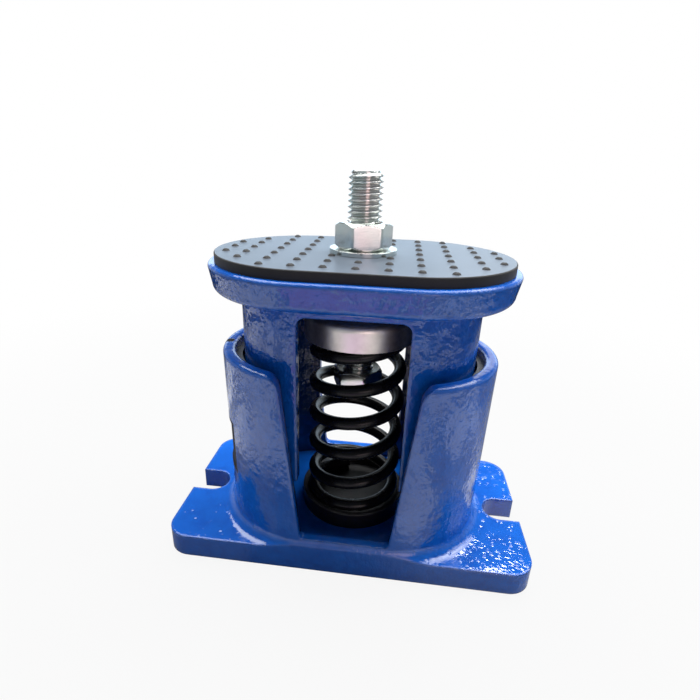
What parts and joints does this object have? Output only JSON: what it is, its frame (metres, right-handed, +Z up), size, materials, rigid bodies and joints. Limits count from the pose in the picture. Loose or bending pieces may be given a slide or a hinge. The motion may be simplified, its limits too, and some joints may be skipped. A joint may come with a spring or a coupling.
{
  "type": "spring vibration isolator",
  "caption": "Housed spring vibration isolator: telescoping cast housings over a coil spring, with a studded rubber top pad and an upright fixing stud.",
  "frame": {"origin": "middle of the base plate's underside, on the axis of the bolt and the spring", "axes": "+Z up along the bolt, +X along the long side of the base plate, +Y away from the viewer of the picture"},
  "size_m": [0.14, 0.0758, 0.1423],
  "materials": {
    "casting": "gloss enamel over a rough casting",
    "liner": "matte",
    "seat": "matte",
    "spring": "gloss black",
    "cup": "spun",
    "pad": "matte",
    "zinc": "zinc plated"
  },
  "bodies": {
    "base": {"lower_housing": "casting", "liner_left": "liner", "liner_right": "liner", "spring_seat": "seat", "spring": "spring"},
    "top": {"upper_housing": "casting", "spring_cup": "cup", "top_pad": "pad", "bolt": "zinc", "washer": "zinc", "nut": "zinc"}
  },
  "joints": [
    {"name": "compression", "type": "slide", "parent": "base", "child": "top", "axis": [0, 0, 1], "range_m": [-0.02, 0], "stiffness_N_per_m": 80000, "deforming": ["spring"]}
  ]
}
